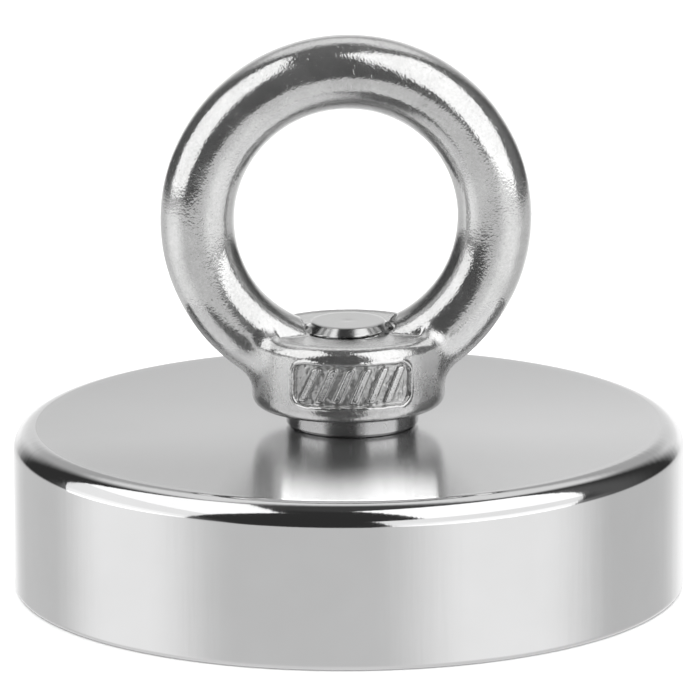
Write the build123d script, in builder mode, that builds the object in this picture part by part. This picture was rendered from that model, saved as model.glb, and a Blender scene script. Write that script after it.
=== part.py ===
from build123d import *
import math
import os

os.makedirs("parts", exist_ok=True)

# Magnet fishing magnet: a steel pot with a ring magnet potted in its open
# side, a countersunk bolt through the pot's centre, a loose spacer collar on
# the bolt and a cast lifting eye screwed down on it.
# Millimetres. Origin at the centre of the pot's open rim, +Z up to the eye.
# The eye's ring lies in the XZ plane and its hub panel faces -Y.

# ---- driving dimensions -------------------------------------------------
POT_D = 75.0          # pot, outside diameter
POT_H = 18.4          # pot, height over the plating
POT_TOP_R = 2.5       # rolled upper edge
POT_RIM_R = 0.6       # lower outer edge
POT_BORE_D = 65.0     # pocket for the magnet
POT_FLOOR_Z = 10.4    # pocket floor, so the base is 8 mm thick
POT_HOLE_D = 10.5     # clearance hole for the bolt

MAG_OD = 63.0         # ring magnet
MAG_ID = 22.0
MAG_Z0 = 0.4          # magnet face sits just inside the rim
MAG_EDGE = 0.5        # rounded, plated corners
GLUE_T = 0.2          # adhesive film on the pocket floor
RESIN_Z0 = 0.7        # face of the sealing resin

THREAD_D = 10.0       # M10 x 1.5
BOLT_HEAD_D = 20.0    # 90 degree countersunk head
BOLT_HEAD_Z = 10.45   # face of the head
BOLT_HEAD_RIM = 0.4
BOLT_END_Z = 30.17
BOLT_END_D = 8.1      # end chamfer
HEX_AF = 6.0
HEX_DEPTH = 4.6

SPACER_D = 14.8
SPACER_BORE_D = 11.0
SPACER_OFF = 0.43     # the loose collar sits a little to +X
SPACER_CH = 0.35

HUB_Z0 = 20.7         # underside of the hub, on the spacer
HUB_Z1 = 29.24        # flat top of the hub
HUB_R_LOW = 10.82
HUB_R_HIGH = 10.62
HUB_LOW_R = 1.3       # lower edge
HUB_TOP_R = 1.4       # upper edge
EYE_BORE_D = 10.12    # over the thread's crests
RING_R = 16.577       # ring centre line
RING_SEC_R = 4.1435   # ring section
RING_Z = 41.88
RING_DX = -0.17       # the casting's ring stands a little to -X
BLEND_R = 1.3         # ring to hub

PANEL_Z = 25.05       # recessed panel on the hub
PANEL_H = 4.8
PANEL_HALF_W = 6.6
PANEL_CORNER = 1.3
PANEL_R = 10.35       # radius of the panel's ground
BAR_R = 10.68         # radius of the raised bars
BAR_W = 0.8
BAR_PITCH = 1.9
BAR_COUNT = 6
BAR_SLOPE = 0.22

# ---- pot shell ------------------------------------------------------------
CONE_SUM = BOLT_HEAD_D / 2 + BOLT_HEAD_Z + BOLT_HEAD_RIM   # r + z on the 90 degree seat
pot_pts = [
    (POT_D / 2, 0),
    (POT_D / 2, POT_H),
    (POT_HOLE_D / 2, POT_H),
    (POT_HOLE_D / 2, CONE_SUM - POT_HOLE_D / 2),
    (CONE_SUM - POT_FLOOR_Z, POT_FLOOR_Z),
    (POT_BORE_D / 2, POT_FLOOR_Z),
    (POT_BORE_D / 2, 0),
]
with BuildPart() as pot_shell:
    with BuildSketch(Plane.XZ) as pot_profile:
        with BuildLine():
            Polyline(*pot_pts, close=True)
        make_face()
        top_corner = pot_profile.vertices().sort_by_distance((POT_D / 2, POT_H))[0]
        fillet(top_corner, POT_TOP_R)
        rim_corner = pot_profile.vertices().sort_by_distance((POT_D / 2, 0))[0]
        fillet(rim_corner, POT_RIM_R)
        lip_corner = pot_profile.vertices().sort_by_distance((POT_BORE_D / 2, 0))[0]
        chamfer(lip_corner, 0.3)
        hole_corner = pot_profile.vertices().sort_by_distance((POT_HOLE_D / 2, POT_H))[0]
        chamfer(hole_corner, 0.4)
    revolve(axis=Axis.Z)
pot_shell.part.label = "pot_shell"
export_step(pot_shell.part, "parts/pot_shell.step")

# ---- ring magnet ----------------------------------------------------------
MAG_Z1 = POT_FLOOR_Z - GLUE_T
with BuildPart() as ring_magnet:
    with BuildSketch(Plane.XZ) as magnet_profile:
        with BuildLine():
            Polyline(
                (MAG_ID / 2, MAG_Z0), (MAG_OD / 2, MAG_Z0),
                (MAG_OD / 2, MAG_Z1), (MAG_ID / 2, MAG_Z1), close=True,
            )
        make_face()
        fillet(magnet_profile.vertices(), MAG_EDGE)
    revolve(axis=Axis.Z)
ring_magnet.part.label = "ring_magnet"
export_step(ring_magnet.part, "parts/ring_magnet.step")

# ---- sealing resin round the magnet -----------------------------------------
# A ring with a shallow meniscus; the magnet's rounded back corner leaves it a
# straight-sided column up to the adhesive film.
with BuildPart() as rim_resin:
    with BuildSketch(Plane.XZ) as resin_profile:
        with BuildLine():
            inner = Line((MAG_OD / 2, RESIN_Z0 + 0.3), (MAG_OD / 2, POT_FLOOR_Z))
            across = Line(inner @ 1, (POT_BORE_D / 2, POT_FLOOR_Z))
            outer = Line(across @ 1, (POT_BORE_D / 2, RESIN_Z0))
            ThreePointArc(
                outer @ 1,
                ((MAG_OD + POT_BORE_D) / 4, RESIN_Z0 + 0.27),
                inner @ 0,
            )
        make_face()
    revolve(axis=Axis.Z)
rim_resin.part.label = "rim_resin"
export_step(rim_resin.part, "parts/rim_resin.step")

# ---- adhesive film behind the magnet ----------------------------------------
with BuildPart() as magnet_adhesive:
    with BuildSketch(Plane.XY.offset(MAG_Z1)):
        Circle(MAG_OD / 2)
        Circle(MAG_ID / 2 + 0.3, mode=Mode.SUBTRACT)
    extrude(amount=GLUE_T)
magnet_adhesive.part.label = "magnet_adhesive"
export_step(magnet_adhesive.part, "parts/magnet_adhesive.step")

# ---- countersunk bolt ---------------------------------------------------------
with BuildPart() as countersunk_bolt:
    with BuildSketch(Plane.XZ):
        with BuildLine():
            Polyline(
                (0, BOLT_HEAD_Z),
                (BOLT_HEAD_D / 2 - 0.25, BOLT_HEAD_Z),
                (BOLT_HEAD_D / 2, BOLT_HEAD_Z + 0.25),
                (BOLT_HEAD_D / 2, BOLT_HEAD_Z + BOLT_HEAD_RIM),
                (THREAD_D / 2, CONE_SUM - THREAD_D / 2),
                (THREAD_D / 2, BOLT_END_Z - (THREAD_D - BOLT_END_D) / 2),
                (BOLT_END_D / 2, BOLT_END_Z),
                (0, BOLT_END_Z),
                close=True,
            )
        make_face()
    revolve(axis=Axis.Z)
    with BuildSketch(Plane.XY.offset(BOLT_HEAD_Z)):
        RegularPolygon(radius=HEX_AF / math.sqrt(3), side_count=6)
    extrude(amount=HEX_DEPTH, mode=Mode.SUBTRACT)
    # drill point below the socket
    with BuildSketch(Plane.XZ):
        with BuildLine():
            Polyline(
                (0, BOLT_HEAD_Z + HEX_DEPTH - 0.1),
                (HEX_AF / 2 - 0.15, BOLT_HEAD_Z + HEX_DEPTH - 0.1),
                (HEX_AF / 2 - 0.15, BOLT_HEAD_Z + HEX_DEPTH),
                (0, BOLT_HEAD_Z + HEX_DEPTH + 1.2),
                close=True,
            )
        make_face()
    revolve(axis=Axis.Z, mode=Mode.SUBTRACT)
    # lead-in chamfer at the mouth of the socket
    with BuildSketch(Plane.XZ):
        with BuildLine():
            Polyline(
                (0, BOLT_HEAD_Z - 0.2),
                (HEX_AF / math.sqrt(3) + 0.35, BOLT_HEAD_Z - 0.2),
                (HEX_AF / math.sqrt(3) + 0.15, BOLT_HEAD_Z),
                (HEX_AF / 2, BOLT_HEAD_Z + (HEX_AF / math.sqrt(3) + 0.15 - HEX_AF / 2)),
                (0, BOLT_HEAD_Z + (HEX_AF / math.sqrt(3) + 0.15 - HEX_AF / 2)),
                close=True,
            )
        make_face()
    revolve(axis=Axis.Z, mode=Mode.SUBTRACT)
countersunk_bolt.part.label = "countersunk_bolt"
export_step(countersunk_bolt.part, "parts/countersunk_bolt.step")

# ---- spacer collar ----------------------------------------------------------
with BuildPart() as spacer_collar:
    with BuildSketch(Plane.XY.offset(POT_H)):
        with Locations((SPACER_OFF, 0)):
            Circle(SPACER_D / 2)
            Circle(SPACER_BORE_D / 2, mode=Mode.SUBTRACT)
    extrude(amount=HUB_Z0 - POT_H)
    chamfer(
        spacer_collar.edges().filter_by(GeomType.CIRCLE).group_by(SortBy.RADIUS)[-1],
        SPACER_CH,
    )
spacer_collar.part.label = "spacer_collar"
export_step(spacer_collar.part, "parts/spacer_collar.step")

# ---- cutter for the hub's panel ---------------------------------------------
# A rounded window pushed in from -Y, limited to the skin of the hub.
with BuildPart() as panel_cutter:
    with BuildSketch(Plane.XZ.offset(6)):
        with Locations((0, PANEL_Z)):
            RectangleRounded(2 * PANEL_HALF_W, PANEL_H, PANEL_CORNER)
    extrude(amount=8)
    with BuildSketch(Plane.XY.offset(PANEL_Z - PANEL_H)):
        Circle(PANEL_R)
    extrude(amount=2 * PANEL_H, mode=Mode.SUBTRACT)

# ---- raised bars that stand in the panel --------------------------------------
bar_x = [(i - (BAR_COUNT - 1) / 2) * BAR_PITCH for i in range(BAR_COUNT)]
BAR_H = PANEL_H - 0.9
with BuildPart() as panel_bars:
    with BuildSketch(Plane.XZ.offset(6)):
        for x in bar_x:
            with BuildLine():
                Polyline(
                    (x - BAR_W / 2 - BAR_SLOPE * BAR_H, PANEL_Z - BAR_H / 2),
                    (x + BAR_W / 2 - BAR_SLOPE * BAR_H, PANEL_Z - BAR_H / 2),
                    (x + BAR_W / 2 + BAR_SLOPE * BAR_H, PANEL_Z + BAR_H / 2),
                    (x - BAR_W / 2 + BAR_SLOPE * BAR_H, PANEL_Z + BAR_H / 2),
                    close=True,
                )
            make_face()
    extrude(amount=8)
    with BuildSketch(Plane.XY.offset(PANEL_Z - PANEL_H)):
        Circle(BAR_R)
    extrude(amount=2 * PANEL_H, mode=Mode.INTERSECT)

# ---- eye nut -------------------------------------------------------------------
with BuildPart() as eye_nut:
    with BuildSketch(Plane.XZ) as hub_profile:
        with BuildLine():
            Polyline(
                (0, HUB_Z0), (HUB_R_LOW, HUB_Z0),
                (HUB_R_HIGH, HUB_Z1), (0, HUB_Z1), close=True,
            )
        make_face()
        low_corner = hub_profile.vertices().sort_by_distance((HUB_R_LOW, HUB_Z0))[0]
        fillet(low_corner, HUB_LOW_R)
        high_corner = hub_profile.vertices().sort_by_distance((HUB_R_HIGH, HUB_Z1))[0]
        fillet(high_corner, HUB_TOP_R)
    revolve(axis=Axis.Z)
    with Locations((RING_DX, 0, RING_Z)):
        Torus(RING_R, RING_SEC_R, rotation=(90, 0, 0))
    with BuildSketch(Plane.XY.offset(HUB_Z0 - 1)):
        Circle(EYE_BORE_D / 2)
    extrude(amount=HUB_Z1 - HUB_Z0 + 3.5, mode=Mode.SUBTRACT)
    # cast blend where the ring grows out of the hub
    seam = eye_nut.edges().filter_by(GeomType.BSPLINE).filter_by(
        lambda e: max(abs(e.bounding_box().min.X), abs(e.bounding_box().max.X)) > EYE_BORE_D / 2 + 0.2
    )
    fillet(seam, BLEND_R)
    add(panel_cutter.part, mode=Mode.SUBTRACT)
    add(panel_bars.part)
eye_nut.part.label = "eye_nut"
export_step(eye_nut.part, "parts/eye_nut.step")
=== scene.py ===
import math
import bpy
import numpy as np
from mathutils import Matrix, Vector


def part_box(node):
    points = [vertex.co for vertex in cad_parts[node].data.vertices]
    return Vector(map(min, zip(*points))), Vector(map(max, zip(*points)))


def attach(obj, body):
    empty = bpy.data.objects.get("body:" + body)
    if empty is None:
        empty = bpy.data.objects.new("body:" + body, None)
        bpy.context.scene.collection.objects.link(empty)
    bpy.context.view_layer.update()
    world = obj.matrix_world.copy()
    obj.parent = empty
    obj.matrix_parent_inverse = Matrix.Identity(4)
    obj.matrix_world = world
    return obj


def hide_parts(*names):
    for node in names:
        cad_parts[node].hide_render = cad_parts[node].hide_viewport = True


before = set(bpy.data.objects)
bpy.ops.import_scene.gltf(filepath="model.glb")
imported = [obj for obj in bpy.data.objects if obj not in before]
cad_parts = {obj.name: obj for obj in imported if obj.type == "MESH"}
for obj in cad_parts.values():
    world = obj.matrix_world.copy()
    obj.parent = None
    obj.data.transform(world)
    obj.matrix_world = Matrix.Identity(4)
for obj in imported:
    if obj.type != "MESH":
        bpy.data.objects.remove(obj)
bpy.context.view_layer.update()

SEED = 7
MM = 0.001

# ---------------------------------------------------------------- dimensions
# millimetres, the same values as the CAD
POT_R, POT_H, POT_TOP_R, POT_RIM_R = 37.5, 18.4, 2.5, 0.6
POT_BORE_R, POT_FLOOR_Z, POT_HOLE_R = 32.5, 10.4, 5.25
MAG_R, MAG_BORE_R, MAG_Z0, MAG_Z1, MAG_EDGE = 31.5, 11.0, 0.4, 10.2, 0.5
RESIN_Z0 = 0.7
HEAD_R, HEAD_Z, HEAD_RIM, BOLT_R, BOLT_END_Z, BOLT_END_R = 10.0, 10.45, 0.4, 5.0, 30.17, 4.05
CONE = HEAD_R + HEAD_Z + HEAD_RIM
HEX_AF, HEX_DEPTH = 6.0, 4.6
SP_R, SP_BORE_R, SP_OFF, SP_CH = 7.4, 5.5, 0.43, 0.35
HUB_Z0, HUB_Z1, HUB_R0, HUB_R1, HUB_LOW_R, HUB_TOP_R = 20.7, 29.24, 10.82, 10.62, 1.3, 1.4
EYE_BORE_R = 5.03
RING_R, RING_r, RING_Z, RING_DX = 16.577, 4.1435, 41.88, -0.17


# ---------------------------------------------------------------- mesh helpers
def mesh_object(name, verts_mm, faces, sharp_deg=None, edges=()):
    me = bpy.data.meshes.new(name)
    me.from_pydata([tuple(v) for v in np.asarray(verts_mm) * MM], list(edges), faces)
    me.validate()
    me.polygons.foreach_set("use_smooth", [True] * len(me.polygons))
    if sharp_deg is not None:
        me.set_sharp_from_angle(angle=math.radians(sharp_deg))
    me.update()
    ob = bpy.data.objects.new(name, me)
    bpy.context.scene.collection.objects.link(ob)
    return ob


def profile(points, closed=True, support=0.03, arc_step=9.0):
    """points: (r, z, corner radius). Returns the outline with rounded corners and support loops beside each corner."""
    n = len(points)
    out = []
    for i, (x, y, rad) in enumerate(points):
        p = np.array([x, y], float)
        first, last = (not closed and i == 0), (not closed and i == n - 1)
        if first or last:
            out.append(p)
            continue
        a = np.array(points[(i - 1) % n][:2], float) - p
        b = np.array(points[(i + 1) % n][:2], float) - p
        la, lb = np.linalg.norm(a), np.linalg.norm(b)
        a, b = a / la, b / lb
        cosang = float(np.clip(a @ b, -1, 1))
        ang = math.acos(cosang)
        if rad <= 0 or math.pi - ang < 0.02:
            out.append(p)
            continue
        t = rad / math.tan(ang / 2)
        t = min(t, 0.995 * la, 0.995 * lb)
        rad2 = t * math.tan(ang / 2)
        c = p + (a + b) / np.linalg.norm(a + b) * (rad2 / math.sin(ang / 2))
        s, e = p + a * t, p + b * t
        v0, v1 = s - c, e - c
        sweep = math.pi - ang
        k = max(3, int(math.ceil(math.degrees(sweep) / arc_step)))
        gap = min(support, 0.2 * (la - t), 0.2 * (lb - t))
        if gap > 1e-4:
            out.append(s + a * gap * 3)
        for j in range(k + 1):
            f = j / k
            w0 = math.sin((1 - f) * sweep) / math.sin(sweep)
            w1 = math.sin(f * sweep) / math.sin(sweep)
            out.append(c + v0 * w0 + v1 * w1)
        if gap > 1e-4:
            out.append(e + b * gap * 3)
    return out


def lathe(name, rings, n=256, closed=True, cap_start=False, cap_end=False, centre=(0.0, 0.0), shape=None, sharp_deg=None):
    """Turns rings of (r, z) round the axis. shape(i, theta, r, z) may return a changed (r, z) array pair."""
    th = np.arange(n) * 2 * math.pi / n
    verts = []
    for i, (r, z) in enumerate(rings):
        rr, zz = np.full(n, float(r)), np.full(n, float(z))
        if shape is not None:
            rr, zz = shape(i, th, rr, zz)
        verts.append(np.stack([rr * np.cos(th) + centre[0], rr * np.sin(th) + centre[1], zz], 1))
    verts = np.concatenate(verts)
    faces = []
    m = len(rings)
    idx = np.arange(n)
    nxt = (idx + 1) % n
    for i in range(m if closed else m - 1):
        a, b = i * n, ((i + 1) % m) * n
        faces.extend(np.stack([a + idx, a + nxt, b + nxt, b + idx], 1).tolist())
    if cap_start:
        faces.append(list(range(n - 1, -1, -1)))
    if cap_end:
        faces.append([(m - 1) * n + k for k in range(n)])
    ob = mesh_object(name, verts, faces, sharp_deg)
    return ob


def fix_outward(ob):
    import bmesh
    bm = bmesh.new()
    bm.from_mesh(ob.data)
    bmesh.ops.recalc_face_normals(bm, faces=bm.faces)
    bm.to_mesh(ob.data)
    bm.free()
    ob.data.update()


# ---------------------------------------------------------------- smooth fields for the casting
class Waves:
    """A smooth repeatable field: a sum of plane waves with seeded directions and phases."""

    def __init__(self, seed, count, short, long_):
        rng = np.random.default_rng(seed)
        k = rng.normal(size=(count, 3))
        k /= np.linalg.norm(k, axis=1, keepdims=True)
        lam = rng.uniform(short, long_, count)
        self.k = k * (2 * math.pi / lam)[:, None]
        self.ph = rng.uniform(0, 2 * math.pi, count)
        self.n = math.sqrt(2.0 / count)

    def __call__(self, p):
        out = np.zeros(len(p))
        for k, ph in zip(self.k, self.ph):
            out += np.sin(p @ k + ph)
        return out * self.n


def smin(a, b, k):
    h = np.maximum(k - np.abs(a - b), 0.0) / np.maximum(k, 1e-6)
    return np.minimum(a, b) - h * h * k * 0.25


def smax(a, b, k):
    return -smin(-a, -b, k)


def rounded(a, b, r):
    return np.hypot(np.maximum(a + r, 0), np.maximum(b + r, 0)) + np.minimum(np.maximum(a + r, b + r), 0) - r


def step(a, b, x):
    t = np.clip((x - a) / (b - a), 0, 1)
    return t * t * (3 - 2 * t)


SWELL = Waves(SEED, 14, 5.0, 11.0)
RIPPLE = Waves(SEED + 1, 18, 1.6, 3.2)
GRAIN = Waves(SEED + 2, 40, 0.45, 0.95)

PANEL_PHI = math.radians(-1.6)
PANEL_HS, PANEL_HZ, PANEL_ZC, PANEL_CR = 7.0, 2.38, 25.05, 1.3
BAR_COUNT, BAR_PITCH, BAR_W, BAR_H, BAR_SLOPE = 6, 1.9, 0.8, 3.9, 0.44


def panel_relief(p):
    """Height of the hub's side over its plain shape, and how much of the panel's cast ground shows."""
    phi = np.arctan2(p[:, 0], -p[:, 1])
    s = (phi - PANEL_PHI) * 10.7
    z = p[:, 2] - PANEL_ZC
    b = rounded(np.abs(s) - PANEL_HS, np.abs(z) - PANEL_HZ, PANEL_CR)
    b = b + 0.03 * np.sin(2.3 * s + 1.1 * z) + 0.02 * np.sin(5.1 * s)
    inside = step(0.06, -0.20, b)
    relief = -0.46 * inside + 0.12 * np.exp(-(((b - 0.19) / 0.15) ** 2))
    # slanted raised bars, evenly spaced: a plain cast pattern
    u = p[:, 0] + 0.25 - BAR_SLOPE * z
    k = np.clip(np.round(u / BAR_PITCH - 0.5), -BAR_COUNT // 2, BAR_COUNT // 2 - 1) + 0.5
    du = (u - k * BAR_PITCH) / math.hypot(1, BAR_SLOPE)
    bar = rounded(np.abs(du) - BAR_W / 2, np.abs(z) - BAR_H / 2, 0.34)
    bars = step(0.13, -0.15, bar)
    crest = 0.05 * np.exp(-(((bar + 0.10) / 0.10) ** 2))
    relief = relief + (0.42 * bars + crest) * inside
    ground = inside * (1 - bars)
    return relief, ground, inside * bars


def raw_skin(p):
    """How much of the as-cast skin is left: 1 on the hub's side and in the corners the wheel doesn't reach."""
    x, y, z = p[:, 0], p[:, 1], p[:, 2]
    q = np.hypot(x - RING_DX, z - RING_Z) - RING_R
    ring = np.hypot(q, y) - RING_r
    rr = np.hypot(x, y)
    side = rr - (HUB_R0 + (HUB_R1 - HUB_R0) * (z - HUB_Z0) / (HUB_Z1 - HUB_Z0))
    hub = np.maximum(rounded(side, z - HUB_Z1, HUB_TOP_R), rounded(side, HUB_Z0 - z, HUB_LOW_R))
    flank = step(22.0, 22.7, z) * step(28.3, 27.6, z) * step(9.6, 10.1, rr)
    corner = step(2.2, 0.3, np.abs(ring - hub)) * step(8.3, 9.4, rr)
    leg = 0.22 * step(34.0, 29.5, z) * step(8.0, 9.5, rr)
    s = (np.arctan2(x, -y) - PANEL_PHI) * 10.7
    b = rounded(np.abs(s) - PANEL_HS, np.abs(z - PANEL_ZC) - PANEL_HZ, PANEL_CR)
    near_panel = step(0.75, 0.35, b) * (y < 0)
    return np.clip(np.maximum(np.maximum(flank, 0.8 * corner), leg), 0, 1) * (1 - near_panel)


def eye_field(p, detail=True):
    x, y, z = p[:, 0], p[:, 1], p[:, 2]
    rho = np.hypot(x - RING_DX, z - RING_Z)
    q = rho - RING_R
    ring = np.hypot(q, y) - RING_r
    rr = np.hypot(x, y)
    side = rr - (HUB_R0 + (HUB_R1 - HUB_R0) * (z - HUB_Z0) / (HUB_Z1 - HUB_Z0))
    if detail:
        swell, ripple = SWELL(p), RIPPLE(p)
        ring = ring + 0.011 + 0.008 * swell + 0.0022 * ripple
        # ground-off flash round the outer and inner equators
        ring = smax(ring, q - (RING_r - 0.028 - 0.012 * swell), 0.03)
        theta = np.arctan2(x - RING_DX, z - RING_Z)
        for ang, off, size in ((1.475, 0.15, 0.42), (1.56, -0.4, 0.3)):
            d2 = ((theta - ang) * RING_R) ** 2 + (y - off) ** 2 + ((q - RING_r) * 0.8) ** 2
            ring = ring - 0.035 * np.exp(-d2 / size ** 2)
        relief, ground, _ = panel_relief(p)
        skin = step(-2.0, -0.6, side) * (y < 0)
        grain = GRAIN(p)
        side = side + 0.012 + 0.012 * swell + 0.003 * ripple - skin * (relief + ground * 0.028 * grain)
        # spot-faced seat round the bolt, its edge left as a fine step
        top = z - HUB_Z1 + 0.085 * step(9.04, 8.88, rr)
    else:
        top = z - HUB_Z1
    hub = np.maximum(rounded(side, top, HUB_TOP_R), rounded(side, HUB_Z0 - z, HUB_LOW_R))
    seat = step(9.3, 8.7, rr) * step(28.2, 28.9, z)
    k = (1.5 * (1 - seat) + 0.12) * step(4.0, 7.0, np.abs(x)) + 0.04
    body = smin(ring, hub, k)
    bore = rr - EYE_BORE_R
    if detail:
        # chamfer at the lower mouth, and the chatter that the spot-facing cutter left above
        bore = np.minimum(bore, rr - (EYE_BORE_R + 0.55) + (z - HUB_Z0) * 1.0)
        wide = step(3.0, 4.4, np.abs(x)) * step(HUB_Z1 + 0.02, HUB_Z1 + 0.3, z)
        chatter = 0.16 * np.maximum(0, np.sin(11 * np.arctan2(y, x) + 2.1 * z))
        bore = bore - (0.30 + chatter) * wide
    return smax(body, -np.where(z < 31.8, bore, 9.0), 0.06)


def axis_points(lo, hi, fine, coarse, bands):
    out, v = [lo], lo
    while v < hi:
        h = coarse
        for a, b in bands:
            if a - 0.3 <= v <= b:
                h = fine
        v += h
        out.append(v)
    return np.array(out)


def surface_net(field, coarse_field, xs, ys, zs, band):
    X, Y, Z = np.meshgrid(xs, ys, zs, indexing="ij")
    pts = np.stack([X.ravel(), Y.ravel(), Z.ravel()], 1)
    V = coarse_field(pts)
    near = np.nonzero(np.abs(V) < band)[0]
    V[near] = field(pts[near])
    nx, ny, nz = len(xs), len(ys), len(zs)
    V = V.reshape(nx, ny, nz)
    inside = V < 0
    c = np.zeros((nx - 1, ny - 1, nz - 1), np.int8)
    for i in (0, 1):
        for j in (0, 1):
            for k in (0, 1):
                c += inside[i:nx - 1 + i, j:ny - 1 + j, k:nz - 1 + k]
    ci, cj, ck = np.nonzero((c > 0) & (c < 8))
    cell = np.full(c.shape, -1, np.int32)
    cell[ci, cj, ck] = np.arange(len(ci))
    corner = {}
    for i in (0, 1):
        for j in (0, 1):
            for k in (0, 1):
                corner[i, j, k] = (
                    np.stack([xs[ci + i], ys[cj + j], zs[ck + k]], 1),
                    V[ci + i, cj + j, ck + k],
                )
    total, count = np.zeros((len(ci), 3)), np.zeros(len(ci))
    for a in corner:
        for axis in range(3):
            if a[axis] == 0:
                b = tuple(1 if m == axis else a[m] for m in range(3))
                (pa, va), (pb, vb) = corner[a], corner[b]
                m = (va < 0) != (vb < 0)
                t = np.where(m, va / np.where(m, va - vb, 1), 0)
                total += np.where(m[:, None], pa + (pb - pa) * t[:, None], 0)
                count += m
    verts = total / count[:, None]
    quads = []
    for axis in range(3):
        sl_a = [slice(1, -1)] * 3
        sl_b = [slice(1, -1)] * 3
        sl_a[axis], sl_b[axis] = slice(0, -1), slice(1, None)
        A, B = inside[tuple(sl_a)], inside[tuple(sl_b)]
        e = np.nonzero(A != B)
        start = [e[m] + (0 if m == axis else 1) for m in range(3)]
        u, v = (axis + 1) % 3, (axis + 2) % 3
        ids = []
        for du, dv in ((-1, -1), (0, -1), (0, 0), (-1, 0)):
            c_ = [s.copy() for s in start]
            c_[u] += du
            c_[v] += dv
            ids.append(cell[c_[0], c_[1], c_[2]])
        qd = np.stack(ids, 1)
        flip = ~A[e]
        qd[flip] = qd[flip][:, ::-1]
        quads.append(qd)
    quads = np.concatenate(quads)
    return verts, quads[(quads >= 0).all(1)]


def project(field, p, times=3):
    h = 0.004
    for _ in range(times):
        f = field(p)
        g = np.stack([(field(p + d) - field(p - d)) / (2 * h) for d in np.eye(3) * h], 1)
        g2 = np.maximum((g * g).sum(1), 0.15)
        stepv = g * (f / g2)[:, None]
        ln = np.linalg.norm(stepv, axis=1)
        stepv *= np.minimum(1, 0.15 / np.maximum(ln, 1e-9))[:, None]
        p = p - stepv
    return p


def relax(p, quads, field, rounds=3, amount=0.5):
    e = np.concatenate([quads[:, [0, 1]], quads[:, [1, 2]], quads[:, [2, 3]], quads[:, [3, 0]]])
    e = np.concatenate([e, e[:, ::-1]])
    deg = np.bincount(e[:, 0], minlength=len(p)).astype(float)
    for _ in range(rounds):
        s = np.stack([np.bincount(e[:, 0], weights=p[e[:, 1], m], minlength=len(p)) for m in range(3)], 1)
        avg = s / np.maximum(deg, 1)[:, None]
        p = project(field, p + (avg - p) * amount, 1)
    return p


# ---------------------------------------------------------------- node helpers
class Graph:
    def __init__(self, tree):
        self.t, self.n = tree, tree.nodes
        self.n.clear()

    def add(self, kind, **props):
        node = self.n.new(kind)
        for k, v in props.items():
            setattr(node, k, v)
        return node

    def put(self, socket, value):
        if isinstance(value, bpy.types.NodeSocket):
            self.t.links.new(value, socket)
        else:
            socket.default_value = value

    def math(self, op, a, b=0.0, c=0.0, clamp=False):
        m = self.add("ShaderNodeMath", operation=op, use_clamp=clamp)
        for s, v in zip(m.inputs, (a, b, c)):
            self.put(s, v)
        return m.outputs[0]

    def smooth(self, x, a, b, lo=0.0, hi=1.0):
        m = self.add("ShaderNodeMapRange", interpolation_type="SMOOTHSTEP")
        for k, v in (("Value", x), ("From Min", a), ("From Max", b), ("To Min", lo), ("To Max", hi)):
            self.put(m.inputs[k], v)
        return m.outputs["Result"]

    def ramp(self, x, stops, smooth=True):
        r = self.add("ShaderNodeValToRGB")
        cr = r.color_ramp
        cr.interpolation = "EASE" if smooth else "LINEAR"
        while len(cr.elements) > 1:
            cr.elements.remove(cr.elements[-1])
        cr.elements[0].position = stops[0][0]
        cr.elements[0].color = (stops[0][1],) * 3 + (1,)
        for pos, val in stops[1:]:
            el = cr.elements.new(pos)
            el.color = (val,) * 3 + (1,)
        self.put(r.inputs[0], x)
        return r.outputs[0]

    def noise(self, scale, detail=2.0, rough=0.5, vec=None, dist=0.0, dims="3D"):
        t = self.add("ShaderNodeTexNoise", noise_dimensions=dims)
        t.inputs["Scale"].default_value = scale
        t.inputs["Detail"].default_value = detail
        t.inputs["Roughness"].default_value = rough
        t.inputs["Distortion"].default_value = dist
        if vec is not None:
            self.put(t.inputs["Vector"], vec)
        return t.outputs["Fac"]

    def bump(self, height, distance, strength=1.0, normal=None):
        b = self.add("ShaderNodeBump")
        b.inputs["Strength"].default_value = strength
        b.inputs["Distance"].default_value = distance
        self.put(b.inputs["Height"], height)
        if normal is not None:
            self.put(b.inputs["Normal"], normal)
        return b.outputs["Normal"]


def material(name):
    m = bpy.data.materials.new(name)
    m.use_nodes = True
    g = Graph(m.node_tree)
    out = g.add("ShaderNodeOutputMaterial")
    bsdf = g.add("ShaderNodeBsdfPrincipled")
    m.node_tree.links.new(bsdf.outputs[0], out.inputs[0])
    return m, g, bsdf


def tint(g, fac, dark, light):
    r = g.add("ShaderNodeValToRGB")
    r.color_ramp.elements[0].color = (*dark, 1)
    r.color_ramp.elements[1].color = (*light, 1)
    g.put(r.inputs[0], fac)
    return r.outputs[0]


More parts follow.
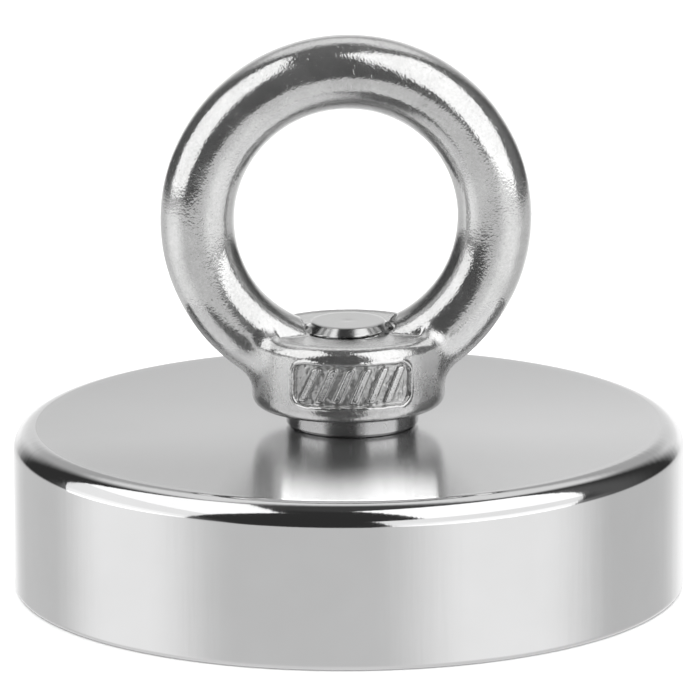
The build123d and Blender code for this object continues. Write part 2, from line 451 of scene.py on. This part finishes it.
# ---------------------------------------------------------------- materials
def mat_cast():
    """Tumbled and polished stainless casting: bright, with orange peel, fine pits and duller as-cast skin in the corners."""
    m, g, b = material("cast_stainless")
    pos = g.add("ShaderNodeTexCoord").outputs["Object"]
    ground, raw, seat = (g.add("ShaderNodeAttribute", attribute_name=k).outputs["Fac"] for k in ("ground", "raw", "seat"))
    patches = g.noise(230, 3, 0.55, pos, 0.4)
    fine = g.noise(3400, 3, 0.6, pos)
    peel = g.noise(1300, 2, 0.5, pos)
    micro = g.noise(4300, 1, 0.5, pos)
    skin = g.math("MULTIPLY", raw, g.smooth(g.math("ADD", fine, patches), 0.72, 1.18, 0.35, 1.0))
    dull = g.smooth(patches, 0.50, 0.66)
    r = g.math("ADD", g.math("MULTIPLY", dull, 0.07), g.math("MULTIPLY", fine, 0.06))
    r = g.math("ADD", r, 0.085)
    r = g.math("ADD", r, g.math("MULTIPLY", skin, 0.20))
    r = g.math("ADD", r, g.math("MULTIPLY", seat, 0.10))
    r = g.math("ADD", r, g.math("MULTIPLY", ground, 0.22), clamp=True)
    g.put(b.inputs["Roughness"], r)
    tone = g.math("ADD", g.math("MULTIPLY", patches, 0.6), g.math("MULTIPLY", fine, 0.4))
    tone = g.math("ADD", tone, g.math("MULTIPLY", skin, 0.22))
    tone = g.math("SUBTRACT", tone, g.math("MULTIPLY", ground, 0.12), clamp=True)
    g.put(b.inputs["Base Color"], tint(g, tone, (0.44, 0.44, 0.435), (0.93, 0.93, 0.93)))
    b.inputs["Metallic"].default_value = 0.93
    pits = g.smooth(g.noise(2600, 1, 0.4, pos, 0.6), 0.68, 0.78)
    mid = g.noise(2500, 1, 0.5, pos)
    h = g.math("ADD", g.math("MULTIPLY", peel, 0.7), g.math("MULTIPLY", micro, 0.95))
    h = g.math("ADD", h, g.math("MULTIPLY", mid, 0.5))
    h = g.math("SUBTRACT", h, g.math("MULTIPLY", pits, 0.7))
    h = g.math("ADD", h, g.math("MULTIPLY", g.math("MULTIPLY", mid, g.math("ADD", g.math("MULTIPLY", skin, 0.8), g.math("MULTIPLY", ground, 3.6))), 1.6))
    h = g.math("MULTIPLY", h, g.math("SUBTRACT", 1.0, g.math("MULTIPLY", seat, 0.8)))
    g.put(b.inputs["Normal"], g.bump(h, 0.000016, 1.0))
    return m


def mat_plate(name, rough, r_var, bump_dist, lines=False, col=((0.70, 0.70, 0.70), (0.78, 0.78, 0.785)), aniso=0.0, drawn=0.0, painted_side_shade=False, metal=1.0):
    """Bright nickel plating. lines adds the turning marks left on the steel below it, drawn the faint upright drawing marks."""
    m, g, b = material(name)
    pos = g.add("ShaderNodeTexCoord").outputs["Object"]
    cloud = g.noise(90, 4, 0.6, pos)
    fine = g.noise(2400, 2, 0.5, pos)
    sep = g.add("ShaderNodeSeparateXYZ")
    g.put(sep.inputs[0], pos)
    if lines:
        rr = g.math("SQRT", g.math("ADD", g.math("POWER", sep.outputs[0], 2.0), g.math("POWER", sep.outputs[1], 2.0)))
        n1 = g.add("ShaderNodeTexNoise", noise_dimensions="1D")
        n1.inputs["Scale"].default_value = 7000
        n1.inputs["Detail"].default_value = 4
        g.put(n1.inputs["W"], rr)
        height = g.math("ADD", g.math("MULTIPLY", n1.outputs["Fac"], 0.7), g.math("MULTIPLY", fine, 0.3))
    else:
        height = g.math("ADD", g.math("MULTIPLY", cloud, 0.6), g.math("MULTIPLY", fine, 0.4))
    if drawn:
        turn = g.math("ARCTAN2", sep.outputs[1], sep.outputs[0])
        n2 = g.add("ShaderNodeTexNoise", noise_dimensions="2D")
        n2.inputs["Scale"].default_value = 1.0
        n2.inputs["Detail"].default_value = 4
        vec = g.add("ShaderNodeCombineXYZ")
        g.put(vec.inputs[0], g.math("MULTIPLY", turn, 34.0))
        g.put(vec.inputs[1], g.math("MULTIPLY", sep.outputs[2], 45.0))
        g.put(n2.inputs["Vector"], vec.outputs[0])
        height = g.math("ADD", height, g.math("MULTIPLY", n2.outputs["Fac"], drawn))
    r = g.math("ADD", rough, g.math("MULTIPLY", g.math("SUBTRACT", cloud, 0.5), r_var))
    scr = g.smooth(g.noise(900, 2, 0.5, pos, 1.5), 0.62, 0.70)
    r = g.math("ADD", r, g.math("MULTIPLY", scr, r_var * 0.5), clamp=True)
    g.put(b.inputs["Roughness"], r)
    shade = cloud
    if painted_side_shade:
        # painted shade: the turned face's colour is darkened towards -X and towards the front, standing in for the
        # duller light there
        across = g.math("ADD", sep.outputs[0], g.math("MULTIPLY", sep.outputs[1], 0.6))
        shade = g.math("SUBTRACT", g.math("ADD", g.math("MULTIPLY", cloud, 0.18), 0.62), g.smooth(across, 0.012, -0.042, 0.0, 0.47))
        shade = g.math("SUBTRACT", shade, g.smooth(sep.outputs[1], -0.004, -0.021, 0.0, 0.27), clamp=True)
    g.put(b.inputs["Base Color"], tint(g, shade, *col))
    b.inputs["Metallic"].default_value = metal
    if aniso:
        b.inputs["Anisotropic"].default_value = aniso
        b.inputs["Anisotropic Rotation"].default_value = 0.25
        t = g.add("ShaderNodeTangent", direction_type="RADIAL", axis="Z")
        g.put(b.inputs["Tangent"], t.outputs[0])
    g.put(b.inputs["Normal"], g.bump(height, bump_dist, 1.0))
    return m


def mat_resin():
    m, g, b = material("sealing_resin")
    pos = g.add("ShaderNodeTexCoord").outputs["Object"]
    cloud = g.noise(320, 4, 0.6, pos)
    dust = g.smooth(g.noise(2600, 2, 0.5, pos), 0.62, 0.72)
    g.put(b.inputs["Base Color"], tint(g, g.math("ADD", g.math("MULTIPLY", cloud, 0.5), g.math("MULTIPLY", dust, 0.5)), (0.012, 0.012, 0.013), (0.06, 0.06, 0.06)))
    g.put(b.inputs["Roughness"], g.math("ADD", 0.16, g.math("MULTIPLY", cloud, 0.22)))
    g.put(b.inputs["Normal"], g.bump(g.math("ADD", cloud, g.math("MULTIPLY", dust, 0.2)), 0.00006, 1.0))
    return m


def mat_floor():
    m, g, b = material("floor")
    pos = g.add("ShaderNodeTexCoord").outputs["Object"]
    g.put(b.inputs["Base Color"], tint(g, g.noise(3, 2, 0.5, pos), (0.90, 0.90, 0.90), (0.93, 0.93, 0.93)))
    b.inputs["Roughness"].default_value = 0.9
    b.inputs["Specular IOR Level"].default_value = 0.1
    # the sheet is clear from below, so that the underside can be looked at
    clear = g.add("ShaderNodeBsdfTransparent")
    mix = g.add("ShaderNodeMixShader")
    g.put(mix.inputs[0], g.add("ShaderNodeNewGeometry").outputs["Backfacing"])
    g.put(mix.inputs[1], b.outputs[0])
    g.put(mix.inputs[2], clear.outputs[0])
    out = next(n for n in m.node_tree.nodes if n.type == "OUTPUT_MATERIAL")
    g.put(out.inputs["Surface"], mix.outputs[0])
    return m


# ---------------------------------------------------------------- eye nut
def make_eye():
    xs = axis_points(-21.3, 21.0, 0.15, 0.30, [(-7.6, 7.6)])
    ys = axis_points(-11.3, 11.3, 0.11, 0.30, [(-11.3, -8.0)])
    zs = axis_points(20.3, 63.0, 0.15, 0.30, [(22.2, 31.2)])
    coarse = lambda p: eye_field(p, False)
    v, q = surface_net(eye_field, coarse, xs, ys, zs, 1.3)
    v = project(eye_field, v, 2)
    v = relax(v, q, eye_field, 3, 0.5)
    v = project(eye_field, v, 2)
    lo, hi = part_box("eye_nut")
    v = np.clip(v, np.array(lo) / MM, np.array(hi) / MM)
    ob = mesh_object("eye_nut_cast", v, q.tolist())
    _, ground, _ = panel_relief(v)
    rr = np.hypot(v[:, 0], v[:, 1])
    on_side = (rr > 9.6) & (rr < 11.2) & (v[:, 1] < -4) & (v[:, 2] < 28.2) & (v[:, 2] > 22)
    g = np.where(on_side, ground, 0.0)
    seat = (rr < 8.9) & (np.abs(v[:, 2] - HUB_Z1 + 0.085) < 0.05)
    for key, val in (("ground", g), ("raw", np.where(seat, 0.0, raw_skin(v))), ("seat", seat * 1.0)):
        att = ob.data.attributes.new(key, "FLOAT", "POINT")
        att.data.foreach_set("value", np.asarray(val, np.float32))
    return ob


# ---------------------------------------------------------------- pot
def make_pot():
    face = POT_H - 0.06
    pts = [
        (POT_R, 0.0, POT_RIM_R),
        (POT_R, POT_H, POT_TOP_R),
        (34.97, POT_H, 0.0),
        (34.27, face, 0.0),
        (POT_HOLE_R, face, 0.35),
        (POT_HOLE_R, CONE - POT_HOLE_R, 0.2),
        (CONE - POT_FLOOR_Z, POT_FLOOR_Z, 0.15),
        (POT_BORE_R, POT_FLOOR_Z, 0.4),
        (POT_BORE_R, 0.0, 0.3),
    ]
    prof = profile(pts, arc_step=5.0)
    rings = [(float(a[0]), float(a[1])) for a in prof]
    ob = lathe("pot_shell_plated", rings, n=288)
    fix_outward(ob)
    return ob


# ---------------------------------------------------------------- magnet, resin, glue
def make_magnet():
    pts = [(MAG_BORE_R, MAG_Z0, MAG_EDGE), (MAG_R, MAG_Z0, MAG_EDGE), (MAG_R, MAG_Z1, MAG_EDGE), (MAG_BORE_R, MAG_Z1, MAG_EDGE)]
    prof = profile(pts, arc_step=10.0)
    w = Waves(SEED + 5, 9, 9.0, 25.0)

    def shape(i, th, r, z):
        # sintered and ground: the plated face is very slightly uneven
        p = np.stack([r * np.cos(th), r * np.sin(th), z], 1)
        return r, np.where(z < 0.95, z + 0.012 * (1 + w(p)), z)

    rings = [(float(a[0]), float(a[1])) for a in prof]
    # extra loops across the working face
    full = []
    for a, b in zip(rings, rings[1:] + rings[:1]):
        full.append(a)
        if abs(a[1] - b[1]) < 1e-6 and abs(a[0] - b[0]) > 8:
            for t in np.linspace(0, 1, 9)[1:-1]:
                full.append((a[0] + (b[0] - a[0]) * t, a[1]))
    ob = lathe("ring_magnet_plated", full, n=192, shape=shape)
    fix_outward(ob)
    return ob


def make_resin():
    w = Waves(SEED + 6, 10, 3.0, 9.0)
    arc = [(MAG_R + (POT_BORE_R - MAG_R) * t, 0) for t in np.linspace(0, 1, 9)]
    face = []
    for r, _ in arc:
        t = (r - MAG_R) / (POT_BORE_R - MAG_R)
        face.append((r, RESIN_Z0 + 0.3 * (1 - t) + 0.16 * math.sin(math.pi * t)))
    rings = face + [(POT_BORE_R, RESIN_Z0 + 0.5), (POT_BORE_R, POT_FLOOR_Z - 0.05), (POT_BORE_R, POT_FLOOR_Z), (MAG_R, POT_FLOOR_Z), (MAG_R, POT_FLOOR_Z - 0.05), (MAG_R, RESIN_Z0 + 0.8)]
    k = len(face)

    def shape(i, th, r, z):
        if i < k:
            p = np.stack([r * np.cos(th), r * np.sin(th), z], 1)
            z = z + 0.035 * (1 + w(p)) * (0.4 + 0.6 * math.sin(math.pi * i / (k - 1)))
        return r, z

    ob = lathe("rim_resin_cured", rings, n=240, shape=shape, sharp_deg=50)
    fix_outward(ob)
    return ob


def make_glue():
    w = Waves(SEED + 8, 10, 2.0, 6.0)
    r0 = MAG_BORE_R + 0.3
    rings = [(r0, MAG_Z1), (r0, MAG_Z1 + 0.06), (r0 + 0.02, MAG_Z1 + 0.14), (r0 + 0.1, POT_FLOOR_Z), (MAG_R - 0.02, POT_FLOOR_Z), (MAG_R, POT_FLOOR_Z - 0.02), (MAG_R, MAG_Z1 + 0.02), (MAG_R - 0.02, MAG_Z1)]

    def shape(i, th, r, z):
        if i < 4:
            p = np.stack([r * np.cos(th), r * np.sin(th), z], 1)
            r = r + 0.08 * (1 + w(p))
        return r, z

    ob = lathe("magnet_adhesive_film", rings, n=240, shape=shape, sharp_deg=40)
    fix_outward(ob)
    return ob


# ---------------------------------------------------------------- spacer collar
def make_spacer():
    pts = [(SP_BORE_R, POT_H, 0.12), (SP_R, POT_H, 0.0), (SP_R, HUB_Z0, 0.0), (SP_BORE_R, HUB_Z0, 0.12)]
    c = SP_CH
    pts = [
        (SP_BORE_R, POT_H, 0.12), (SP_R - c, POT_H, 0.05), (SP_R, POT_H + c, 0.08),
        (SP_R, HUB_Z0 - c, 0.08), (SP_R - c, HUB_Z0, 0.05), (SP_BORE_R, HUB_Z0, 0.12),
    ]
    prof = profile(pts, support=0.01, arc_step=15)
    ob = lathe("spacer_collar_turned", [(float(a[0]), float(a[1])) for a in prof], n=160, centre=(SP_OFF, 0.0))
    fix_outward(ob)
    return ob


# ---------------------------------------------------------------- bolt
def make_bolt():
    n = 96
    th = np.arange(n) * 2 * math.pi / n
    hexr = (HEX_AF / 2) / np.cos(((th + math.pi / 6) % (math.pi / 3)) - math.pi / 6)
    hexr = (HEX_AF / 2) / np.cos((th % (math.pi / 3)) - math.pi / 6)
    circ = np.ones(n)
    rings = []

    def ring(r, z):
        rings.append((np.asarray(r) * circ, np.full(n, float(z)) if np.isscalar(z) else z))

    top = HEAD_Z + HEX_DEPTH
    ring(0.02, top + 1.15)
    ring(1.2, top + 0.68)
    ring(2.6, top + 0.1)
    ring(2.8, top)
    ring(hexr - 0.03, top - 0.02)
    ring(hexr, top - 0.1)
    ring(hexr, HEAD_Z + 0.9)
    mouth = HEX_AF / math.sqrt(3) + 0.15
    ring(np.minimum(hexr, mouth), HEAD_Z + mouth - np.minimum(hexr, mouth))
    ring(mouth, HEAD_Z + 0.0)
    ring(mouth + 0.06, HEAD_Z)
    for r in (5.0, 6.5, 8.0, 9.2, 9.62):
        ring(r, HEAD_Z)
    ring(9.7, HEAD_Z)
    ring(9.8, HEAD_Z + 0.03)
    ring(9.93, HEAD_Z + 0.12)
    ring(9.98, HEAD_Z + 0.22)
    ring(10.0, HEAD_Z + 0.3)
    ring(10.0, HEAD_Z + HEAD_RIM)
    ring(9.95, HEAD_Z + HEAD_RIM + 0.05)
    ring(5.05, CONE - 5.05)
    pitch, depth = 1.5, 0.80
    z0 = CONE - 5.0 + 0.05
    for z in np.arange(z0, BOLT_END_Z - 0.02, 0.075):
        ph = ((z / pitch - th / (2 * math.pi)) % 1.0)
        tri = np.abs(ph - 0.5) * 2
        prof = np.clip((tri - 0.10) / 0.72, 0, 1)
        prof = prof * prof * (3 - 2 * prof) * 0.35 + prof * 0.65
        fade = float(np.clip((z - z0 - 0.2) / 1.5, 0, 1))
        r = 4.975 - depth * (1 - prof) * fade
        r = np.minimum(r, BOLT_END_R + (BOLT_END_Z - z))
        ring(r, z)
    ring(BOLT_END_R - 0.02, BOLT_END_Z - 0.012)
    ring(BOLT_END_R - 0.07, BOLT_END_Z)
    for r, dz in ((3.6, 0.004), (2.8, 0.006), (2.0, 0.010), (1.2, 0.014), (0.5, 0.02), (0.05, 0.05)):
        ring(r, BOLT_END_Z - dz)
    verts = np.concatenate([np.stack([r * np.cos(th), r * np.sin(th), z], 1) for r, z in rings])
    faces = []
    idx = np.arange(n)
    nxt = (idx + 1) % n
    for i in range(len(rings) - 1):
        a, b = i * n, (i + 1) * n
        faces.extend(np.stack([a + idx, a + nxt, b + nxt, b + idx], 1).tolist())
    faces.append(list(range(n - 1, -1, -1)))
    faces.append([(len(rings) - 1) * n + k for k in range(n)])
    ob = mesh_object("countersunk_bolt_machined", verts, faces, sharp_deg=38)
    fix_outward(ob)
    return ob


# ---------------------------------------------------------------- build the pieces
eye = make_eye()
pot = make_pot()
magnet = make_magnet()
resin = make_resin()
glue = make_glue()
spacer = make_spacer()
bolt = make_bolt()

cast = mat_cast()
plate = mat_plate("nickel_plate_bright", 0.085, 0.03, 0.000003, drawn=3.2)
# plate_top and plate_lip get painted shade towards -X and the front; the darker first colour of col leaves room for it
plate_top = mat_plate("nickel_plate_turned", 0.19, 0.04, 0.0000012, lines=True, aniso=0.72, painted_side_shade=True, metal=0.95, col=((0.50, 0.50, 0.50), (0.79, 0.79, 0.795)))
plate_lip = mat_plate("nickel_plate_rim", 0.15, 0.03, 0.0000012, lines=True, aniso=0.6, painted_side_shade=True, metal=0.95, col=((0.50, 0.50, 0.50), (0.80, 0.80, 0.805)))
plate_in = mat_plate("nickel_plate_inner", 0.24, 0.08, 0.000006)
mag_mat = mat_plate("magnet_nickel", 0.17, 0.08, 0.000007, col=((0.58, 0.58, 0.585), (0.68, 0.68, 0.69)))
turned = mat_plate("turned_stainless", 0.26, 0.05, 0.000003, lines=False, col=((0.60, 0.60, 0.60), (0.70, 0.70, 0.70)), aniso=0.7)
bolt_mat = mat_plate("bolt_stainless", 0.15, 0.08, 0.000004, col=((0.58, 0.58, 0.575), (0.68, 0.68, 0.68)))
resin_mat = mat_resin()

eye.data.materials.append(cast)
for m in (plate, plate_top, plate_in, plate_lip):
    pot.data.materials.append(m)
for poly in pot.data.polygons:
    c = poly.center / MM
    r = math.hypot(c[0], c[1])
    if c[2] > POT_H - 0.08 and POT_HOLE_R + 0.4 < r < 34.26:
        poly.material_index = 1
    elif c[2] > POT_H - 0.08 and 34.2 < r < 35.1:
        poly.material_index = 3
    elif r < POT_BORE_R + 0.3 and c[2] < POT_H - 0.01:
        poly.material_index = 2
for ob, m in ((magnet, mag_mat), (resin, resin_mat), (glue, resin_mat), (spacer, turned), (bolt, bolt_mat)):
    ob.data.materials.append(m)

for ob, node, body in (
    (eye, "eye_nut", "eye"), (pot, "pot_shell", "pot"), (magnet, "ring_magnet", "pot"),
    (resin, "rim_resin", "pot"), (glue, "magnet_adhesive", "pot"),
    (spacer, "spacer_collar", "spacer"), (bolt, "countersunk_bolt", "pot"),
):
    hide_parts(node)
    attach(ob, body)

# ---------------------------------------------------------------- stage
scene = bpy.context.scene
me = bpy.data.meshes.new("floor")
F = 6.0
me.from_pydata([(-F, -F, -0.00005), (F, -F, -0.00005), (F, F, -0.00005), (-F, F, -0.00005)], [], [(0, 1, 2, 3)])
floor = bpy.data.objects.new("floor", me)
scene.collection.objects.link(floor)
floor.data.materials.append(mat_floor())
floor.visible_glossy = False


def softbox(name, centre, yaw, tilt, half_w, half_h, radiance, glossy=True, only=None, spread=180.0):
    """A soft panel whose outward side points along yaw (0 is -Y, 90 is +X), leaning back by tilt."""
    a, t = math.radians(yaw), math.radians(tilt)
    w = Vector((math.cos(a), math.sin(a), 0))
    nrm = Vector((math.sin(a) * math.cos(t), -math.cos(a) * math.cos(t), math.sin(t)))
    h = nrm.cross(w)
    light = bpy.data.lights.new(name, "AREA")
    light.shape = "RECTANGLE"
    light.size, light.size_y = 2 * half_w, 2 * half_h
    light.spread = math.radians(spread)
    light.energy = radiance * math.pi * (2 * half_w) * (2 * half_h)
    ob = bpy.data.objects.new(name, light)
    rot = Matrix((w, h, nrm)).transposed()
    ob.matrix_world = Matrix.Translation(centre) @ rot.to_4x4()
    ob.visible_camera = False
    ob.visible_glossy = glossy
    scene.collection.objects.link(ob)
    if only is not None:
        ob.light_linking.receiver_collection = only
    return ob


near_pot = bpy.data.collections.new("lit_pot")
near_eye = bpy.data.collections.new("lit_eye")
for ob in (pot, magnet, resin, glue):
    near_pot.objects.link(ob)
for ob in (eye, spacer, bolt, floor):
    near_eye.objects.link(ob)
softbox("softbox_left", (-0.1618, -0.0749, 0.180), -100.7, 21.7, 0.108, 0.1465, 1.25, only=near_eye)
softbox("softbox_right", (0.1409, -0.0945, 0.1802), 41.2, 25.8, 0.115, 0.1635, 1.34, only=near_eye)
# the pot sits lower and sees the panels' bright part higher up, over their dimmer skirts
softbox("softbox_left_upper", (-0.1471, -0.0686, 0.2133), -100.7, 21.7, 0.117, 0.111, 1.34, only=near_pot)
softbox("softbox_left_skirt", (-0.2129, -0.0561, 0.0452), -100.7, 21.7, 0.117, 0.070, 1.03, only=near_pot)
softbox("softbox_right_upper", (0.1276, -0.0852, 0.2113), 41.2, 25.8, 0.120, 0.129, 1.38, only=near_pot)
softbox("softbox_right_skirt", (0.1547, -0.1730, 0.0375), 41.2, 25.8, 0.1575, 0.064, 1.0, only=near_pot)
softbox("overhead", (0.0, 0.2, 1.6), 0.0, 90.0, 1.6, 1.6, 2.2, glossy=False)

# small card by the neck, seen only as the streak of light it throws on the turned face
softbox("neck_card", (0.0004, -0.0116, 0.0247), 180.0, -4.0, 0.0086, 0.0028, 0.52, only=near_pot, spread=70.0)

# the rest of the tent, as seen in polished metal: pale table below the horizon, pale backdrop behind, dark gaps and ceiling
world = bpy.data.worlds.new("studio")
scene.world = world
world.use_nodes = True
g = Graph(world.node_tree)
sep = g.add("ShaderNodeSeparateXYZ")
g.put(sep.inputs[0], g.add("ShaderNodeTexCoord").outputs["Generated"])
dx, dy, dz = sep.outputs
az = g.math("MULTIPLY", g.math("ARCTAN2", dx, g.math("MULTIPLY", dy, -1.0)), 180 / math.pi)
el = g.math("MULTIPLY", g.math("ARCSINE", dz), 180 / math.pi)
# dark surround, a little lighter past the right panel
dark = g.math("ADD", 0.035, g.math("MULTIPLY", g.math("MULTIPLY", g.smooth(az, 80, 95), g.smooth(az, 128, 100)), 0.07))
# backdrop, seen beyond the gaps
lb = g.math("ADD", g.math("MULTIPLY", el, 0.33), -157.0)
left_back = g.smooth(az, g.math("ADD", lb, 13), g.math("SUBTRACT", lb, 13))
rb = g.math("ADD", g.math("MULTIPLY", el, -0.30), 145.0)
right_back = g.smooth(az, g.math("SUBTRACT", rb, 11), g.math("ADD", rb, 11))
back = g.math("MAXIMUM", left_back, right_back)
level = g.ramp(g.math("DIVIDE", g.math("ADD", el, 90.0), 180.0), [
    (0.0, 0.9), (0.40, 1.05), (0.48, 1.14), (0.51, 1.08), (0.532, 0.92), (0.58, 0.78), (0.64, 0.46), (0.69, 0.45), (0.75, 0.86), (0.84, 0.88), (0.90, 0.30), (0.94, 0.06), (1.0, 0.06)])
upper = g.math("ADD", g.math("MULTIPLY", back, level), g.math("MULTIPLY", g.math("SUBTRACT", 1.0, back), dark))
ceiling = g.smooth(el, 66, 80)
upper = g.math("ADD", g.math("MULTIPLY", upper, g.math("SUBTRACT", 1.0, ceiling)), g.math("MULTIPLY", ceiling, 0.06))
# table
under_left = g.math("MULTIPLY", g.smooth(az, -128, -96), g.smooth(az, -42, -78))
under_right = g.math("MULTIPLY", g.smooth(az, 3, 40), g.smooth(az, 100, 64))
rear = g.math("MAXIMUM", g.smooth(az, -150, -180), g.smooth(az, 132, 160))
table = g.math("ADD", 0.66, g.math("MULTIPLY", g.math("MAXIMUM", under_left, under_right), 0.39))
table = g.math("ADD", table, g.math("MULTIPLY", rear, 0.40))
flat = g.smooth(el, -18, -55)
table = g.math("ADD", g.math("MULTIPLY", table, g.math("SUBTRACT", 1.0, flat)), g.math("MULTIPLY", flat, 0.78))
table = g.math("SUBTRACT", table, g.math("MULTIPLY", g.math("MULTIPLY", g.smooth(az, 84, 98), g.smooth(az, 140, 122)), 0.045))
low = g.smooth(el, 6, 1)
upper = g.math("ADD", upper, g.math("MULTIPLY", low, g.math("ADD", g.math("MULTIPLY", under_left, 0.20), g.math("MULTIPLY", under_right, 0.32))))
front = g.math("MULTIPLY", g.smooth(az, -48, -40), g.smooth(az, 9, 3))
hor = g.smooth(el, g.math("ADD", -9.5, g.math("MULTIPLY", front, 0.5)), g.math("SUBTRACT", -3.5, g.math("MULTIPLY", front, 4.3)))
lum = g.math("ADD", g.math("MULTIPLY", upper, hor), g.math("MULTIPLY", table, g.math("SUBTRACT", 1.0, hor)))
bg = g.add("ShaderNodeBackground")
comb = g.add("ShaderNodeCombineColor")
for s in comb.inputs[:3]:
    g.put(s, lum)
g.put(bg.inputs["Color"], comb.outputs[0])
bg.inputs["Strength"].default_value = 1.0
out = g.add("ShaderNodeOutputWorld")
g.put(out.inputs["Surface"], bg.outputs[0])

# ---------------------------------------------------------------- camera
DIST, AZ, EL, ROLL = 0.9757067, math.radians(-3.84246), math.radians(13.48422), math.radians(0.24939)
target = Vector((0.0001986, 0.0, 0.0267439))
backv = Vector((math.sin(AZ) * math.cos(EL), -math.cos(AZ) * math.cos(EL), math.sin(EL)))
right = Vector((math.cos(AZ), math.sin(AZ), 0.0))
upv = backv.cross(right)
cx = right * math.cos(ROLL) - upv * math.sin(ROLL)
cy = right * math.sin(ROLL) + upv * math.cos(ROLL)
cam_data = bpy.data.cameras.new("camera")
cam_data.sensor_width = 36.0
cam_data.lens = 449.5591
cam_data.clip_start, cam_data.clip_end = 0.05, 50.0
cam = bpy.data.objects.new("camera", cam_data)
cam.matrix_world = Matrix.Translation(target + backv * DIST) @ Matrix((cx, cy, backv)).transposed().to_4x4()
scene.collection.objects.link(cam)
scene.camera = cam
scene.view_settings.view_transform = "Standard"
scene.view_settings.look = "None"
